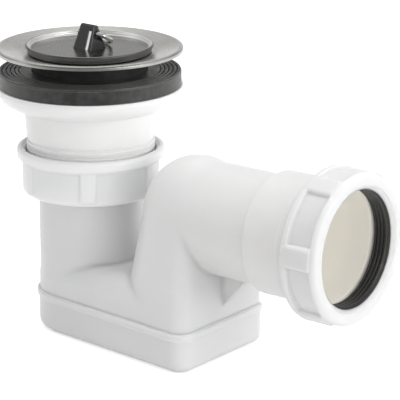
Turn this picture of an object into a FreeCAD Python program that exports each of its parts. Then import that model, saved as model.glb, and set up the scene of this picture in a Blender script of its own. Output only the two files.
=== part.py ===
import FreeCAD, Part
import math
import os
import re
import Sketcher

# A shower tray waste with its trap. Millimetres. The vertical axis of the waste is Z, the
# outlet leaves along +X, and Z = 0 is the rim of the flange, where it seats on the tray.

os.makedirs("parts", exist_ok=True)
doc = FreeCAD.newDocument("shower_tray_waste")
sheet = doc.addObject("Spreadsheet::Sheet", "sizes")

SIZES = {
    # pressed flange and its dish
    "flange_radius": 35,
    "flange_sheet": 0.8,
    "rim_height": 1.5,
    "rim_land": 1.4,
    "throat_radius": 24.4,
    "seat_radius": 20.2,
    "dish_radius": 18.9,
    "dish_depth": 9,
    "rim_bend": 0.7,
    "ledge_level": -0.6,
    "ledge_bend": 0.6,
    "dish_bend": 1.2,
    "drain_hole_radius": 2.6,
    "drain_circle_radius": 12.2,
    "drain_hole_count": 8,
    # rubber sleeve under the flange
    "sleeve_radius": 22.6,
    "sleeve_foot_radius": 21.5,
    "gasket_gap": 0.3,
    "gasket_edge": 0.2,
    "seal_gap": 0.1,
    # ribbed washer under the tray
    "tray_gap": 7.3,
    "washer_radius": 34.3,
    "washer_thickness": 5.7,
    "washer_bore_gap": 0.3,
    "washer_land": 3,
    "washer_rib_pitch": 1.56,
    "washer_groove_width": 0.6,
    "washer_groove_depth": 0.6,
    # white upper body
    "bowl_radius": 35,
    "bowl_edge": 1.5,
    "bowl_depth": 5.9,
    "bowl_bulge": 0.73,
    "neck_radius": 25,
    "neck_foot_radius": 24.2,
    "neck_bore_radius": 20.5,
    "neck_length": 19.1,
    "moulded_wall": 2.3,
    "bowl_rib_count": 8,
    "bowl_rib_width": 1.8,
    "spigot_length": 13.9,
    "spigot_turns": 5,
    "spoke_count": 3,
    "spoke_width": 2.2,
    "spoke_height": 8,
    "boss_radius": 6.2,
    # screw and its insert
    "screw_radius": 3,
    "screw_head_radius": 5.6,
    "screw_head_height": 2.6,
    "screw_head_edge": 1,
    "screw_head_flat": 3.4,
    "screw_slot_depth": 1.4,
    "screw_chamfer": 0.5,
    "screw_length": 18,
    "screw_slot_width": 1.2,
    "insert_radius": 4.2,
    "insert_length": 9,
    "insert_groove": 1.8,
    "insert_groove_depth": 0.2,
    "insert_gap": 0.1,
    # threads of the two nuts
    "thread_pitch": 2.5,
    "thread_depth": 0.55,
    "thread_gap": 0.3,
    "thread_chamfer": 0.7,
    # union nut
    "union_ring_radius": 27.9,
    "union_ring_height": 4.4,
    "union_ring_slope": 1.5,
    "union_ring_round": 1.3,
    "union_mouth_radius": 26,
    "union_mouth_depth": 1,
    "union_turns": 4,
    "union_radius": 26,
    "union_foot_round": 2,
    "union_height": 17.7,
    "union_lip": 2.8,
    "union_overlap": 9.7,
    "grip_rib_width": 7.2,
    "grip_rib_height": 0.9,
    "grip_rib_slope": 0.9,
    "grip_rib_root": 1,
    "grip_rib_count": 6,
    "union_rib_turn": 8.5,
    "outlet_rib_turn": 25,
    "running_gap": 0.3,
    # trap: inlet tube, base, riser and outlet
    "tube_radius": 19.9,
    "tube_bore_radius": 17.5,
    "collar_radius": 22.8,
    "collar_height": 3,
    "base_radius": 20.2,
    "base_length": 64.3,
    "base_corner_radius": 5.5,
    "side_taper": 4.6,
    "base_bottom": 107.3,
    "weld_line": 92,
    "deck_height": 13.5,
    "deck_round": 8,
    "chamber_slope": 3.2,
    "riser_setback": 13.3,
    "heel_shift": 0.8,
    "heel_rise": 2.25,
    "heel_radius": 19.4,
    "riser_lean": 1.7,
    "riser_top_taper": 1,
    "seam": 0.1,
    "outlet_height": 53.8,
    "outlet_radius": 20.4,
    "socket_start": 87.8,
    "socket_radius": 22.6,
    "socket_bore_radius": 20.9,
    "socket_end": 115,
    "socket_step": 1.6,
    "socket_mouth": 1.5,
    "stop_ring_start": 104.4,
    "stop_ring_width": 3,
    "stop_ring_radius": 24.4,
    "stop_ring_round": 0.5,
    "outlet_thread_radius": 23.9,
    "outlet_thread_turns": 2,
    "outlet_thread_start": 0.5,
    "gusset_length": 11.4,
    "gusset_height": 12.8,
    "gusset_width": 2.6,
    # welded base cap
    "cap_proud": 0.3,
    "bead_proud": 1,
    "bead_height": 2.6,
    "bead_drop": 0.4,
    "cap_edge_round": 3.2,
    # outlet nut, slip ring and seal
    "nut_front": 123.6,
    "nut_length": 14.6,
    "nut_radius": 28,
    "nut_face_radius": 27.5,
    "nut_waist_radius": 26.6,
    "nut_ring_width": 2.4,
    "nut_ring_slope": 0.6,
    "nut_edge_round": 0.7,
    "nut_front_round": 2.2,
    "nut_mouth_round": 1.5,
    "nut_lip": 1.6,
    "nut_bore_radius": 21.4,
    "nut_waist_end": 3,
    "nut_thread_inset": 1.2,
    "nut_lug_width": 8.4,
    "nut_lug_round": 1.4,
    "slip_ring_width": 0.8,
    "outlet_seal_length": 5.9,
    "outlet_seal_bore": 20.7,
    "outlet_seal_groove": 0.6,
    "outlet_seal_lips": 4,
    # plug
    "plug_disc_radius": 24,
    "plug_disc_sheet": 0.6,
    "plug_disc_top": 0.8,
    "plug_rim_height": 1.7,
    "plug_hem_round": 0.55,
    "plug_hem_taper": 0.8,
    "plug_floor_radius": 21.8,
    "plug_floor_bend": 0.8,
    "plug_foot_radius": 17.4,
    "plug_foot_round": 1,
    "plug_depth": 5.8,
    "plug_seat_gap": 0.3,
    "lug_height": 8.9,
    "lug_width": 9,
    "lug_top_width": 6.8,
    "lug_depth": 8.8,
    "lug_top_depth": 2.8,
    "lug_slot": 1.5,
    "lug_slot_offset": 2,
    "lug_slot_height": 7.4,
    "tab_gap": 0.1,
    "tab_inset": 0.2,
    "lug_turn": -1.5,
    "ring_height": 5.7,
    "ring_wire": 1.7,
    "ring_radius": 6.2,
    "ring_corner": 2.2,
    "ring_side": 1.5,
    "ring_eye_gap": 0.25,
}

for row, (alias, size) in enumerate(SIZES.items(), start=1):
    sheet.set("A%d" % row, alias)
    sheet.set("B%d" % row, str(size))
    sheet.setAlias("B%d" % row, alias)
doc.recompute()

# Places that follow from the sizes above.
PLACES = {
    "washer_top": "-tray_gap",
    "body_top": "-tray_gap - washer_thickness",
    "rim_land_start": "flange_radius - rim_land",
    "flange_slope": "(rim_height - ledge_level) / (rim_land_start - throat_radius)",
    "gasket_radius": "flange_radius - flange_sheet - gasket_gap",
    "gasket_top": "rim_height - flange_sheet - seal_gap",
    "gasket_bore": "rim_land_start - (gasket_top - gasket_edge) / flange_slope",
    "washer_bore": "sleeve_foot_radius + washer_bore_gap",
    "washer_rib_count": "floor((washer_radius - washer_bore - washer_land) / washer_rib_pitch)",
    "neck_top": "body_top - bowl_edge - bowl_depth",
    "bowl_round": "bowl_bulge * sqrt((bowl_radius - neck_radius) ^ 2 + bowl_depth ^ 2)",
    "spigot_top": "body_top - neck_length",
    "spigot_end": "spigot_top - spigot_length",
    "thread_root": "neck_foot_radius - thread_depth",
    "union_bore": "neck_foot_radius + thread_gap",
    "union_top": "spigot_end + union_overlap",
    "union_bottom": "union_top - union_height",
    "collar_bottom": "union_bottom + union_lip + seal_gap",
    "collar_top": "collar_bottom + collar_height",
    "dish_floor": "-dish_depth",
    "boss_top": "dish_floor - flange_sheet - screw_head_height",
    "spoke_bottom": "boss_top - insert_length - moulded_wall",
    "deck_top": "deck_height - weld_line",
    "riser_top_length": "base_length - riser_lean",
    "base_turn_sin": "sin(side_taper)",
    "base_turn_cos": "cos(side_taper)",
    "riser_centre": "base_length - riser_setback",
    "riser_radius": "base_radius + riser_centre * base_turn_sin",
    "heel_centre": "riser_centre + heel_shift",
    "nut_back": "nut_front - nut_length",
    "nut_thread_bore": "outlet_thread_radius + thread_gap",
    "slip_back": "nut_front - nut_lip - slip_ring_width - seal_gap",
    "seal_back": "socket_end + seal_gap",
    "plug_under": "plug_disc_top - plug_disc_sheet",
    "plug_rim_top": "plug_disc_top + plug_rim_height",
    "plug_foot_edge": "plug_disc_radius - plug_hem_taper",
    "lug_crown_level": "plug_disc_top + lug_height - lug_top_depth / 2",
    "lug_slope": "(lug_depth - lug_top_depth) / 2 / (lug_crown_level - plug_under)",
    "tab_foot": "lug_depth / 2 - tab_inset",
    "tab_height": "lug_slot_height - tab_gap",
    "ring_level": "plug_disc_top + ring_height",
    "ring_reach": "ring_corner + ring_side + ring_radius",
    "ring_droop": "asin((ring_height - ring_wire / 2 - seal_gap) / ring_reach)",
}

first_place_row = len(SIZES) + 2
names = list(SIZES) + list(PLACES)
word = re.compile(r"[a-z_]+")


def bound(expression):
    """The expression with each alias read from the sheet."""
    return word.sub(lambda m: "sizes." + m.group() if m.group() in names else m.group(), expression)


for row, (alias, formula) in enumerate(PLACES.items(), start=first_place_row):
    sheet.set("A%d" % row, alias)
    sheet.set("B%d" % row, "=" + formula)
    sheet.setAlias("B%d" % row, alias)
    doc.recompute()


def value(expression):
    """A number worked out from the sheet."""
    found = sheet.evalExpression(bound(expression))
    return float(getattr(found, "Value", found))


def bind(thing, prop, expression):
    thing.setExpression(prop, bound(expression))


def new_body(label):
    body = doc.addObject("PartDesign::Body", label)
    body.Label = label
    return body


def plane_of(body, role):
    return next(item for item in body.Origin.OriginFeatures if item.Role == role)


def new_sketch(body, name, role, offset=None):
    sketch = body.newObject("Sketcher::SketchObject", name)
    sketch.AttachmentSupport = [(plane_of(body, role), "")]
    sketch.MapMode = "FlatFace"
    if offset:
        bind(sketch, "AttachmentOffset.Base.z", offset)
    return sketch


def pin_point(sketch, geometry, end, axis_name, expression, label):
    """Ties one coordinate of a point to the sheet, or to an axis where it is zero."""
    number = value(expression)
    if abs(number) < 1e-9:
        other_axis = -2 if axis_name == "X" else -1
        sketch.addConstraint(Sketcher.Constraint("PointOnObject", geometry, end, other_axis))
        return
    index = sketch.addConstraint(Sketcher.Constraint("Distance" + axis_name, -1, 1, geometry, end, number))
    sketch.renameConstraint(index, label)
    bind(sketch, "Constraints." + label, expression)


def arc_between(start, end, radius, turn):
    """The short arc from start to end that bends to the left or to the right."""
    chord = end - start
    rise = math.sqrt(max(radius * radius - chord.Length * chord.Length / 4, 0))
    normal = FreeCAD.Vector(-chord.y, chord.x, 0).normalize()
    sign = 1 if turn == "left" else -1
    centre = (start + end) * 0.5 + normal * (rise * sign)
    first, last = (start, end) if turn == "left" else (end, start)
    angle_a = math.atan2(first.y - centre.y, first.x - centre.x)
    angle_b = math.atan2(last.y - centre.y, last.x - centre.x)
    if angle_b < angle_a:
        angle_b += 2 * math.pi
    circle = Part.Circle(centre, FreeCAD.Vector(0, 0, 1), radius)
    return Part.ArcOfCircle(circle, angle_a, angle_b)


def closed_outline(sketch, path, tag=""):
    """A closed outline. Each step is (x, y) for a line, or (x, y, turn, radius) for an arc."""
    points = [FreeCAD.Vector(value(step[0]), value(step[1]), 0) for step in path]
    ends = []
    for number, step in enumerate(path):
        start = points[number - 1]
        end = points[number]
        if len(step) == 2:
            index = sketch.addGeometry(Part.LineSegment(start, end))
            ends.append((index, 1, 2))
            continue
        index = sketch.addGeometry(arc_between(start, end, value(step[3]), step[2]))
        ends.append((index, 1, 2) if step[2] == "left" else (index, 2, 1))
    for number, step in enumerate(path):
        index, first, last = ends[number]
        before, _, before_last = ends[number - 1]
        sketch.addConstraint(Sketcher.Constraint("Coincident", before, before_last, index, first))
        pin_point(sketch, index, last, "X", step[0], "%sx%d" % (tag, number))
        pin_point(sketch, index, last, "Y", step[1], "%sy%d" % (tag, number))
        if len(step) == 4:
            label = "%sr%d" % (tag, number)
            rule = sketch.addConstraint(Sketcher.Constraint("Radius", index, value(step[3])))
            sketch.renameConstraint(rule, label)
            bind(sketch, "Constraints." + label, step[3])


def circle_outline(sketch, x, y, radius):
    centre = FreeCAD.Vector(value(x), value(y), 0)
    index = sketch.addGeometry(Part.Circle(centre, FreeCAD.Vector(0, 0, 1), value(radius)))
    pin_point(sketch, index, 3, "X", x, "centre_x%d" % index)
    pin_point(sketch, index, 3, "Y", y, "centre_y%d" % index)
    rule = sketch.addConstraint(Sketcher.Constraint("Radius", index, value(radius)))
    sketch.renameConstraint(rule, "radius%d" % index)
    bind(sketch, "Constraints.radius%d" % index, radius)


def turned(body, name, path, axis="V_Axis", cut=False):
    """A revolution, or a groove, of an outline about one axis of its sketch."""
    sketch = new_sketch(body, name + "_profile", "XZ_Plane")
    closed_outline(sketch, path)
    kind = "PartDesign::Groove" if cut else "PartDesign::Revolution"
    feature = body.newObject(kind, name)
    feature.Profile = sketch
    feature.ReferenceAxis = (sketch, [axis])
    feature.Angle = 360
    doc.recompute()
    return feature


def padded(body, name, sketch, length, cut=False, both_ways=False, reverse=False):
    """A pad, or a pocket, of a sketch by a length from the sheet."""
    kind = "PartDesign::Pocket" if cut else "PartDesign::Pad"
    feature = body.newObject(kind, name)
    feature.Profile = sketch
    feature.Type = 0
    bind(feature, "Length", length)
    feature.Midplane = both_ways
    feature.Reversed = reverse
    doc.recompute()
    return feature


def repeated(body, name, feature, count, role="Z_Axis"):
    """A feature repeated evenly about an axis of the body."""
    pattern = body.newObject("PartDesign::PolarPattern", name)
    pattern.Originals = [feature]
    pattern.Axis = (plane_of(body, role), [""])
    pattern.Angle = 360
    bind(pattern, "Occurrences", count)
    body.Tip = pattern
    doc.recompute()
    return pattern


def rounded(body, name, feature, radius, wanted):
    """A fillet of the edges that the test picks."""
    edges = ["Edge%d" % (number + 1) for number, edge in enumerate(feature.Shape.Edges) if wanted(edge)]
    fillet = body.newObject("PartDesign::Fillet", name)
    fillet.Base = (feature, edges)
    bind(fillet, "Radius", radius)
    doc.recompute()
    return fillet


def lies_at(edge, level, axis=2, slack=0.01):
    """True where the whole edge lies at one level."""
    box = edge.BoundBox
    low, high = ((box.XMin, box.XMax), (box.YMin, box.YMax), (box.ZMin, box.ZMax))[axis]
    return abs(low - level) < slack and abs(high - level) < slack


def thread_steps(radius, depth, start, count, way, swap=False):
    """Points of the crests and roots of a thread's section, along the outline's run."""
    steps = []
    for turn in range(int(value(count))):
        begin = "%s + %d * (%s) * thread_pitch" % (start, turn, way)
        for share, level in ((0.0, "0"), (0.12, depth), (0.42, depth), (0.54, "0")):
            along = "%s + %s * (%s) * thread_pitch" % (begin, share, way)
            across = "%s + (%s)" % (radius, level)
            steps.append((along, across) if swap else (across, along))
    return steps


# Waste flange, pressed from one sheet: a downturned rim, a cone that falls to a ledge, a
# tapered seat for the plug and a dish with a drilled floor.
flange = new_body("waste_flange")
turned(flange, "flange_pressing", [
    ("screw_radius + insert_gap", "dish_floor"),
    ("screw_radius + insert_gap", "dish_floor - flange_sheet"),
    ("dish_radius - dish_bend", "dish_floor - flange_sheet"),
    ("dish_radius + flange_sheet", "dish_floor + dish_bend", "left", "dish_bend + flange_sheet"),
    ("seat_radius + flange_sheet", "ledge_level - 2 * ledge_bend - flange_sheet / 3"),
    ("seat_radius + flange_sheet + ledge_bend / 2", "ledge_level - flange_sheet"),
    ("throat_radius", "ledge_level - flange_sheet"),
    ("rim_land_start", "rim_height - flange_sheet"),
    ("flange_radius - flange_sheet", "rim_height - flange_sheet"),
    ("flange_radius - flange_sheet", "0"),
    ("flange_radius", "0"),
    ("flange_radius", "rim_height - rim_bend"),
    ("flange_radius - rim_bend", "rim_height", "left", "rim_bend"),
    ("rim_land_start", "rim_height"),
    ("throat_radius", "ledge_level"),
    ("seat_radius + ledge_bend", "ledge_level"),
    ("seat_radius", "ledge_level - 2 * ledge_bend"),
    ("dish_radius", "dish_floor + dish_bend"),
    ("dish_radius - dish_bend", "dish_floor", "right", "dish_bend"),
])
drain_sketch = new_sketch(flange, "drain_hole_outline", "XY_Plane", "dish_floor + dish_bend")
circle_outline(drain_sketch, "drain_circle_radius", "0", "drain_hole_radius")
drain_hole = padded(flange, "drain_hole", drain_sketch, "dish_bend + 2 * flange_sheet", cut=True)
repeated(flange, "drain_holes", drain_hole, "drain_hole_count")

# Rubber sleeve that lines the hole in the tray, between the flange's ledge and the body.
sleeve = new_body("tray_sleeve")
turned(sleeve, "sleeve_moulding", [
    ("dish_radius + flange_sheet + seal_gap", "body_top + seal_gap"),
    ("sleeve_foot_radius", "body_top + seal_gap"),
    ("sleeve_foot_radius", "washer_top"),
    ("sleeve_radius", "ledge_level - flange_sheet - seal_gap"),
    ("seat_radius + flange_sheet + ledge_bend / 2 + seal_gap", "ledge_level - flange_sheet - seal_gap"),
    ("seat_radius + flange_sheet + seal_gap", "ledge_level - 2 * ledge_bend - flange_sheet / 3"),
    ("dish_radius + flange_sheet + seal_gap", "dish_floor + dish_bend"),
])

# Foam gasket inside the hollow rim of the flange.
gasket = new_body("flange_gasket")
turned(gasket, "gasket_ring", [
    ("gasket_bore", "0"),
    ("gasket_radius", "0"),
    ("gasket_radius", "gasket_top"),
    ("rim_land_start", "gasket_top"),
    ("gasket_bore", "gasket_edge"),
])

# Ribbed washer that closes the tray from below.
washer = new_body("ribbed_washer")
rib_path = [
    ("washer_bore", "body_top"),
    ("washer_radius", "body_top"),
    ("washer_radius", "washer_top - washer_groove_depth"),
]
for rib in range(int(value("washer_rib_count")) - 1):
    crest = "washer_radius - (%d + 0.5) * washer_rib_pitch" % rib
    half = "(washer_rib_pitch - washer_groove_width) / 2"
    rib_path += [
        ("%s + %s + washer_groove_width / 3" % (crest, half), "washer_top - washer_groove_depth"),
        ("%s + %s" % (crest, half), "washer_top"),
        ("%s - %s" % (crest, half), "washer_top"),
        ("%s - %s - washer_groove_width / 3" % (crest, half), "washer_top - washer_groove_depth"),
    ]
last_groove = "washer_radius - (washer_rib_count - 1) * washer_rib_pitch"
rib_path += [
    (last_groove, "washer_top - washer_groove_depth"),
    (last_groove + " - washer_groove_width / 3", "washer_top"),
    ("washer_bore", "washer_top"),
]
turned(washer, "washer_moulding", rib_path)

# Upper body: a bowl under the washer, a tapered neck, a threaded spigot and a spider that
# holds the insert of the screw.
upper = new_body("upper_body")
upper_path = [
    ("neck_bore_radius", "body_top"),
    ("neck_bore_radius", "spigot_end"),
    ("thread_root", "spigot_end"),
]
upper_path += thread_steps("thread_root", "thread_depth", "spigot_end + thread_pitch / 2", "spigot_turns",
                           "1")
upper_path += [
    ("thread_root", "spigot_top"),
    ("neck_foot_radius", "spigot_top"),
    ("neck_radius", "neck_top"),
    ("bowl_radius", "body_top - bowl_edge", "left", "bowl_round"),
    ("bowl_radius", "body_top"),
]
turned(upper, "upper_moulding", upper_path)
turned(upper, "bowl_recess", [
    ("neck_radius", "body_top"),
    ("neck_radius", "neck_top + moulded_wall"),
    ("bowl_radius - moulded_wall", "body_top - bowl_edge", "left", "bowl_round"),
    ("bowl_radius - moulded_wall", "body_top"),
], cut=True)
rib_sketch = new_sketch(upper, "bowl_rib_outline", "XZ_Plane")
closed_outline(rib_sketch, [
    ("neck_radius - moulded_wall / 2", "body_top"),
    ("neck_radius - moulded_wall / 2", "neck_top + moulded_wall / 2"),
    ("neck_radius", "neck_top + moulded_wall / 2"),
    ("bowl_radius - moulded_wall / 2", "body_top - bowl_edge", "left", "bowl_round"),
    ("bowl_radius - moulded_wall / 2", "body_top"),
])
bowl_rib = padded(upper, "bowl_rib", rib_sketch, "bowl_rib_width", both_ways=True)
repeated(upper, "bowl_ribs", bowl_rib, "bowl_rib_count")
turned(upper, "boss", [
    ("0", "spoke_bottom"),
    ("boss_radius", "spoke_bottom"),
    ("boss_radius", "boss_top"),
    ("0", "boss_top"),
])
spoke_sketch = new_sketch(upper, "spoke_outline", "XZ_Plane")
closed_outline(spoke_sketch, [
    ("boss_radius / 2", "spoke_bottom"),
    ("neck_bore_radius + moulded_wall / 2", "spoke_bottom"),
    ("neck_bore_radius + moulded_wall / 2", "spoke_bottom + spoke_height"),
    ("boss_radius / 2", "spoke_bottom + spoke_height"),
])
spoke = padded(upper, "spoke", spoke_sketch, "spoke_width", both_ways=True)
repeated(upper, "spider", spoke, "spoke_count")
turned(upper, "insert_seat", [
    ("0", "boss_top - insert_length"),
    ("insert_radius + insert_gap", "boss_top - insert_length"),
    ("insert_radius + insert_gap", "boss_top"),
    ("0", "boss_top"),
], cut=True)
turned(upper, "screw_run", [
    ("0", "spoke_bottom"),
    ("screw_radius + insert_gap", "spoke_bottom"),
    ("screw_radius + insert_gap", "boss_top"),
    ("0", "boss_top"),
], cut=True)

# Brass insert pressed into the boss.
insert = new_body("threaded_insert")
turned(insert, "insert_turning", [
    ("screw_radius + insert_gap", "boss_top - insert_length"),
    ("insert_radius", "boss_top - insert_length"),
    ("insert_radius", "boss_top - (insert_length + insert_groove) / 2"),
    ("insert_radius - insert_groove_depth", "boss_top - insert_length / 2 - insert_groove / 4"),
    ("insert_radius - insert_groove_depth", "boss_top - insert_length / 2 + insert_groove / 4"),
    ("insert_radius", "boss_top - (insert_length - insert_groove) / 2"),
    ("insert_radius", "boss_top"),
    ("screw_radius + insert_gap", "boss_top"),
])

# Screw that draws the flange and the upper body together, with a slotted pan head.
screw = new_body("fixing_screw")
turned(screw, "screw_turning", [
    ("0", "dish_floor + screw_head_height - screw_length"),
    ("screw_radius - screw_chamfer", "dish_floor + screw_head_height - screw_length"),
    ("screw_radius", "dish_floor + screw_head_height - screw_length + screw_chamfer"),
    ("screw_radius", "dish_floor"),
    ("screw_head_radius", "dish_floor"),
    ("screw_head_radius", "dish_floor + screw_head_edge"),
    ("screw_head_flat", "dish_floor + screw_head_height", "left", "screw_head_flat"),
    ("0", "dish_floor + screw_head_height"),
])
slot_sketch = new_sketch(screw, "screw_slot_outline", "XY_Plane", "dish_floor + screw_head_height")
closed_outline(slot_sketch, [
    ("screw_head_radius + screw_slot_width", "-screw_slot_width / 2"),
    ("screw_head_radius + screw_slot_width", "screw_slot_width / 2"),
    ("-screw_head_radius - screw_slot_width", "screw_slot_width / 2"),
    ("-screw_head_radius - screw_slot_width", "-screw_slot_width / 2"),
])
padded(screw, "screw_slot", slot_sketch, "screw_slot_depth", cut=True)

# Union nut: a flared top ring, a threaded barrel with grip ribs and a lip that holds the
# collar of the trap.
union = new_body("union_nut")
union_path = [
    ("tube_radius + running_gap", "union_bottom"),
    ("union_radius - union_foot_round", "union_bottom"),
    ("union_radius", "union_bottom + union_foot_round", "left", "union_foot_round"),
    ("union_radius", "union_top - union_ring_height - union_ring_slope / 2"),
    ("union_ring_radius", "union_top - union_ring_height + union_ring_slope / 2"),
    ("union_ring_radius", "union_top - union_ring_round"),
    ("union_ring_radius - union_ring_round", "union_top", "left", "union_ring_round"),
    ("union_mouth_radius", "union_top"),
    ("union_mouth_radius", "union_top - union_mouth_depth"),
    ("union_bore + thread_chamfer", "union_top - union_mouth_depth"),
]
union_path += thread_steps("union_bore", "thread_depth", "union_top - union_mouth_depth - thread_chamfer",
                           "union_turns", "-1")
union_path += [
    ("union_bore", "union_bottom + union_lip"),
    ("tube_radius + running_gap", "union_bottom + union_lip"),
]
turned(union, "union_turning", union_path)


def grip_outline(sketch, crest, root, half_width, slope):
    """Section of a grip rib: a crest that follows the nut, and a sloped flank on each side."""
    closed_outline(sketch, [
        (root, "-(%s)" % half_width),
        ("%s - %s / 3" % (crest, slope), "-(%s - %s)" % (half_width, slope)),
        (crest, "0", "left", crest),
        ("%s - %s / 3" % (crest, slope), "%s - %s" % (half_width, slope), "left", crest),
        (root, half_width),
    ])


union_rib_sketch = new_sketch(union, "union_rib_outline", "XY_Plane", "union_bottom + union_foot_round")
grip_outline(union_rib_sketch, "union_radius + grip_rib_height", "union_radius - grip_rib_root",
             "grip_rib_width / 2", "grip_rib_slope")
bind(union_rib_sketch, "AttachmentOffset.Rotation.Angle", "union_rib_turn")
union_rib = padded(union, "union_rib", union_rib_sketch,
                   "union_height - union_ring_height - union_foot_round")
repeated(union, "union_ribs", union_rib, "grip_rib_count")

# Flat rubber seal between the spigot and the collar.
union_seal = new_body("union_seal")
turned(union_seal, "union_seal_moulding", [
    ("neck_bore_radius", "collar_top + seal_gap"),
    ("collar_radius", "collar_top + seal_gap"),
    ("collar_radius", "spigot_end - seal_gap"),
    ("neck_bore_radius", "spigot_end - seal_gap"),
])


def keel_outline(sketch, centre, radius, length, corner, taper, grow="0"):
    """A plan that is round at one end and square with rounded corners at the other."""
    sine = "sin(%s)" % taper
    cosine = "cos(%s)" % taper
    big = "(%s + (%s))" % (radius, grow)
    small = "(%s + (%s))" % (corner, grow)
    middle = "(%s - %s)" % (length, corner)
    half = "((%s - %s + %s * (%s - (%s))) / %s)" % (radius, corner, sine, middle, centre, cosine)
    closed_outline(sketch, [
        ("%s - %s * %s" % (centre, big, sine), "-%s * %s" % (big, cosine), "left", big),
        ("%s - %s * %s" % (middle, small, sine), "-%s - %s * %s" % (half, small, cosine)),
        ("%s + %s" % (middle, small), "-%s" % half, "left", small),
        ("%s + %s" % (middle, small), half),
        ("%s - %s * %s" % (middle, small, sine), "%s + %s * %s" % (half, small, cosine), "left", small),
        ("%s - %s * %s" % (centre, big, sine), "%s * %s" % (big, cosine)),
    ])


def loft(body, name, low, high, cut=False):
    kind = "PartDesign::SubtractiveLoft" if cut else "PartDesign::AdditiveLoft"
    feature = body.newObject(kind, name)
    feature.Profile = low
    feature.Sections = [high]
    feature.Ruled = True
    doc.recompute()
    return feature


# Trap body, one moulding: the base, the riser with its round heel, the outlet pipe and
# socket, the gusset, and the inlet tube that dips into the base.
trap = new_body("trap_body")


def deck_outline(sketch, radius):
    """A plan of the base from its round end to the middle of the riser."""
    half_at_riser = "((%s + riser_centre * base_turn_sin) / base_turn_cos)" % radius
    closed_outline(sketch, [
        ("-%s * base_turn_sin" % radius, "-%s * base_turn_cos" % radius, "left", radius),
        ("riser_centre", "-" + half_at_riser),
        ("riser_centre", half_at_riser),
        ("-%s * base_turn_sin" % radius, "%s * base_turn_cos" % radius),
    ])


deck_sketch = new_sketch(trap, "deck_outline", "XY_Plane", "-weld_line")
deck_outline(deck_sketch, "base_radius")
deck = padded(trap, "deck", deck_sketch, "deck_height")
deck_level = value("deck_top")
far_edge = value("riser_centre")
rounded(trap, "deck_edge", deck, "deck_round",
        lambda edge: lies_at(edge, deck_level) and not lies_at(edge, far_edge, axis=0))

riser_foot = new_sketch(trap, "riser_foot_outline", "XY_Plane", "-weld_line")
keel_outline(riser_foot, "riser_centre", "riser_radius", "base_length", "base_corner_radius", "side_taper")
padded(trap, "riser_foot", riser_foot, "deck_height")
riser_low = new_sketch(trap, "riser_start", "XY_Plane", "deck_top")
keel_outline(riser_low, "riser_centre", "riser_radius", "base_length", "base_corner_radius", "side_taper")
riser_high = new_sketch(trap, "riser_head", "XY_Plane", "-outlet_height")
keel_outline(riser_high, "heel_centre", "outlet_radius - seam", "riser_top_length", "base_corner_radius",
             "riser_top_taper")
loft(trap, "riser", riser_low, riser_high)


def outlet_turned(name, path, cut=False, level="-outlet_height"):
    """A revolution about a line along X at a level. The outline is (along X, radius)."""
    sketch = new_sketch(trap, name + "_profile", "XZ_Plane")
    bind(sketch, "AttachmentOffset.Base.y", level)
    closed_outline(sketch, path)
    kind = "PartDesign::Groove" if cut else "PartDesign::Revolution"
    feature = trap.newObject(kind, name)
    feature.Profile = sketch
    feature.ReferenceAxis = (sketch, ["H_Axis"])
    feature.Angle = 360
    doc.recompute()
    return feature


socket_path = [
    ("socket_end", "0"),
    ("socket_end", "outlet_thread_radius - thread_depth"),
]
socket_path += thread_steps("outlet_thread_radius - thread_depth", "thread_depth",
                            "socket_end - outlet_thread_start", "outlet_thread_turns", "-1", swap=True)
socket_path += [
    ("stop_ring_start + stop_ring_width", "outlet_thread_radius - thread_depth"),
    ("stop_ring_start + stop_ring_width", "stop_ring_radius - stop_ring_round"),
    ("stop_ring_start + stop_ring_width - stop_ring_round", "stop_ring_radius", "left", "stop_ring_round"),
    ("stop_ring_start + stop_ring_round", "stop_ring_radius"),
    ("stop_ring_start", "stop_ring_radius - stop_ring_round", "left", "stop_ring_round"),
    ("stop_ring_start", "socket_radius"),
    ("socket_start + socket_step", "socket_radius"),
    ("socket_start", "outlet_radius"),
    ("heel_centre", "outlet_radius"),
    ("heel_centre - outlet_radius", "0", "left", "outlet_radius"),
]
outlet_turned("outlet_pipe", socket_path)
outlet_turned("heel", [
    ("heel_centre + heel_radius", "0"),
    ("heel_centre", "heel_radius", "left", "heel_radius"),
    ("heel_centre - heel_radius", "0", "left", "heel_radius"),
], level="heel_rise - outlet_height")

gusset_sketch = new_sketch(trap, "gusset_outline", "XZ_Plane")
closed_outline(gusset_sketch, [
    ("base_length - moulded_wall", "-outlet_height - outlet_radius - gusset_height"),
    ("base_length", "-outlet_height - outlet_radius - gusset_height"),
    ("base_length + gusset_length", "-outlet_height - outlet_radius"),
    ("base_length + gusset_length", "-outlet_height - outlet_radius + moulded_wall / 2"),
    ("base_length - moulded_wall", "-outlet_height - outlet_radius + moulded_wall / 2"),
])
padded(trap, "gusset", gusset_sketch, "gusset_width", both_ways=True)

chamber_sketch = new_sketch(trap, "chamber_outline", "XY_Plane", "-weld_line")
deck_outline(chamber_sketch, "(base_radius - moulded_wall)")
padded(trap, "chamber", chamber_sketch, "deck_height - moulded_wall - chamber_slope", cut=True, reverse=True)
roof_low = new_sketch(trap, "chamber_roof_start", "XY_Plane", "deck_top - moulded_wall - chamber_slope")
deck_outline(roof_low, "(base_radius - moulded_wall)")
roof_high = new_sketch(trap, "chamber_roof_end", "XY_Plane", "deck_top - moulded_wall")
deck_outline(roof_high, "(base_radius - moulded_wall - chamber_slope)")
loft(trap, "chamber_roof", roof_low, roof_high, cut=True)
shaft_foot = new_sketch(trap, "shaft_foot_outline", "XY_Plane", "-weld_line")
keel_outline(shaft_foot, "riser_centre", "riser_radius", "base_length", "base_corner_radius", "side_taper",
             "-moulded_wall")
padded(trap, "shaft_foot", shaft_foot, "deck_height", cut=True, reverse=True)
shaft_low = new_sketch(trap, "shaft_start", "XY_Plane", "deck_top")
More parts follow.
